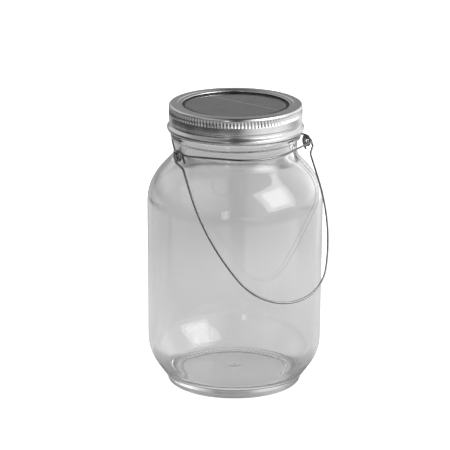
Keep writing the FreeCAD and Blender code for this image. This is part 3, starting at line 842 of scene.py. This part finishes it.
def lit_table(place):
    """Glow of the table in what the object shows of it, at a place in metres.

    Its lights add up: two pools behind the jar and the lit right side, all shaded near the foot, two
    areas in front beside the gap, the far left, and the base.
    """
    across = place.along(TABLE_RIGHT)
    in_front = place.along(TABLE_BACK)
    away = place.from_axis()
    far_side = in_front.between(-FOOT_INNER, 0.0, 1.0, 0.0)
    well_behind = in_front.between(FAR_BEHIND, WELL_BEHIND, 1.0, 0.0)

    pool = (across * POOL_SQUEEZE).hypotenuse(in_front + POOL_BACK)
    pool = pool.between(POOL_INNER, POOL_OUTER, POOL_GLOW, POOL_EDGE)
    pool = pool * across.between(LEFT_FAR, LEFT_NEAR, LEFT_SHARE, 1.0)
    under = across.hypotenuse(in_front + UNDER_BACK).between(UNDER_INNER, UNDER_OUTER, UNDER_GLOW, 0.0)
    side_share = in_front.between(-POOL_BACK, 0.0, SIDE_SHARE, 1.0) + well_behind * SIDE_BEHIND_SHARE
    lit_side = across.between(SIDE_NEAR, SIDE_FAR, 0.0, SIDE_GLOW) * side_share
    base = away.between(FOOT_INNER, SHADE_INNER, 1.0, 0.0)
    shade = away.between(SHADE_INNER, SHADE_OUTER, SHADE_SHARE, 1.0).larger(base.larger(far_side))

    front = beside_gap(across / in_front, FRONT_LEFT_GLOW, FRONT_RIGHT_GLOW)
    front = front * in_front.between(0.0, FOOT_INNER)
    front = front * away.between(FRONT_NEAR, FRONT_FULL) * away.between(FRONT_FADE, FRONT_END, 1.0, 0.0)

    near_jar = away.between(FRONT_FADE, FAR_LEFT_REACH, 1.0, 0.0)
    far_left = across.between(FAR_LEFT_END, FAR_LEFT_START, FAR_LEFT_GLOW, 0.0)
    far_left = far_left * far_side * near_jar.larger(well_behind)
    return (pool + under + lit_side) * shade + front + far_left + base * BASE_GLOW


def pale_floor(place):
    """White table to the camera, and a dark one with its own lights in what the object shows of it."""
    seen = camera_ray(place.tree)
    return {
        "Base Color": seen.colours(grey(TABLE_SHOWN_TONE), grey(TABLE_TONE)),
        "Emission Color": seen.colours(lit_table(place.stretched(MM, MM, MM)), grey(TABLE_GLOW)),
    }


def make_floor():
    """Flat square table just under the jar."""
    mesh = bpy.data.meshes.new("floor")
    signs = [(-1, -1), (1, -1), (1, 1), (-1, 1)]
    corners = [(x * TABLE_REACH, y * TABLE_REACH, -TABLE_DROP) for x, y in signs]
    mesh.from_pydata(corners, [], [(0, 1, 2, 3)])
    dull = {"Roughness": TABLE_ROUGHNESS, "Specular IOR Level": 0.0, "Emission Strength": 1.0}
    mesh.materials.append(finish("pale_floor", pale_floor, dull))
    floor = bpy.data.objects.new("floor", mesh)
    bpy.context.scene.collection.objects.link(floor)


def make_camera():
    """Camera at the photograph's place and angle."""
    aim = TABLE_RIGHT * AIM_SIDE + np.array([0, 0, AIM_HEIGHT])
    data = bpy.data.cameras.new("camera")
    data.sensor_width = SENSOR
    data.lens = FOCAL_PIXELS / PHOTO_SIDE * SENSOR
    data.clip_start = NEAR_CLIP
    camera = bpy.data.objects.new("camera", data)
    turn = Matrix((VIEW_RIGHT, VIEW_UP, VIEW_BACK)).transposed().to_4x4()
    camera.matrix_world = Matrix.Translation(Vector(aim + VIEW_BACK * VIEW_DISTANCE)) @ turn
    bpy.context.scene.collection.objects.link(camera)
    bpy.context.scene.camera = camera


def lit_room(towards):
    """Glow of the surroundings in what the object shows of them, in a direction.

    Its lights add up: tones from left to right that sink towards the table on the left, a patch behind
    the jar, two lights in front beside the gap, and one at the far left behind.
    """
    to_right = towards.along(TABLE_RIGHT)
    height = towards.part(2)
    around = to_right.node("ShaderNodeValToRGB", {"stops": ROOM_TONES}, {0: to_right * 0.5 + 0.5})
    lift = height.between(LIFT_LOW, LIFT_HIGH).larger(to_right.between(0.0, LIFT_RIGHT))
    behind = towards.along(-VIEW_BACK).between(BEHIND_EDGE, BEHIND_MIDDLE, 0.0, BEHIND_GLOW)
    front = beside_gap(to_right, ROOM_LEFT_GLOW, ROOM_RIGHT_GLOW)
    front = front * towards.along(VIEW_BACK).between(ROOM_FRONT_EDGE, ROOM_FRONT_MIDDLE)
    far_left = towards.along(TABLE_BACK).between(CORNER_BACK_FULL, CORNER_BACK_EDGE, FAR_LEFT_GLOW, 0.0)
    far_left = far_left * to_right.between(CORNER_LEFT_FULL, CORNER_LEFT_EDGE, 1.0, 0.0)
    far_left = far_left * height.between(CORNER_LOW, CORNER_HIGH)
    return around * ROOM_GLOW * lift + behind + front + far_left


def make_surroundings():
    """World that is white to the camera, with its own lights in what the object shows of it."""
    world = bpy.data.worlds.new("studio")
    world.use_nodes = True
    tree = world.node_tree
    tree.nodes.clear()
    towards = Field(tree, tree.nodes.new("ShaderNodeTexCoord").outputs["Generated"])
    colour = camera_ray(tree).colours(lit_room(towards), grey(1.0))
    light = colour.node("ShaderNodeBackground", {}, {"Color": colour, "Strength": 1.0})
    output = tree.nodes.new("ShaderNodeOutputWorld")
    tree.links.new(light.socket, output.inputs["Surface"])
    bpy.context.scene.world = world


def softbox(name, azimuth, elevation, distance, width, height, watts):
    """Rectangular light that faces the middle of the jar from an azimuth and elevation in degrees."""
    turn, lift = np.radians(azimuth), np.radians(elevation)
    away = Vector((np.sin(turn) * np.cos(lift), -np.cos(turn) * np.cos(lift), np.sin(lift)))
    data = bpy.data.lights.new(name, "AREA")
    data.shape = "RECTANGLE"
    data.size = width
    data.size_y = height
    data.energy = watts
    light = bpy.data.objects.new(name, data)
    place = Matrix.Translation(away * distance + Vector((0, 0, AIM_HEIGHT)))
    light.matrix_world = place @ away.to_track_quat("Z", "Y").to_matrix().to_4x4()
    bpy.context.scene.collection.objects.link(light)
    return light


def make_lamps():
    """Window with a brighter middle, a narrow lamp at the left, and an unmirrored light overhead."""
    softbox("window_light", azimuth=38, elevation=31, distance=1.12, width=0.95, height=1.0, watts=6.5)
    softbox("window_middle", azimuth=38, elevation=31, distance=1.1, width=0.6, height=0.66, watts=2.6)
    softbox("side_lamp", azimuth=-40, elevation=5, distance=1.1, width=0.12, height=0.34, watts=0.35)
    overhead = softbox("overhead", azimuth=-26, elevation=80, distance=1.2, width=1, height=1, watts=6)
    overhead.visible_glossy = False
    overhead.visible_transmission = False


def main():
    """The object's finishes and new pieces, then the table, camera and light."""
    finishes = make_finishes()
    dress_nodes(finishes)
    make_jar(finishes["glass"])
    make_band(finishes["band_sheet"])
    make_window(finishes["window"])
    make_floor()
    make_camera()
    make_surroundings()
    make_lamps()
    bpy.context.scene.view_settings.view_transform = "Standard"


main()
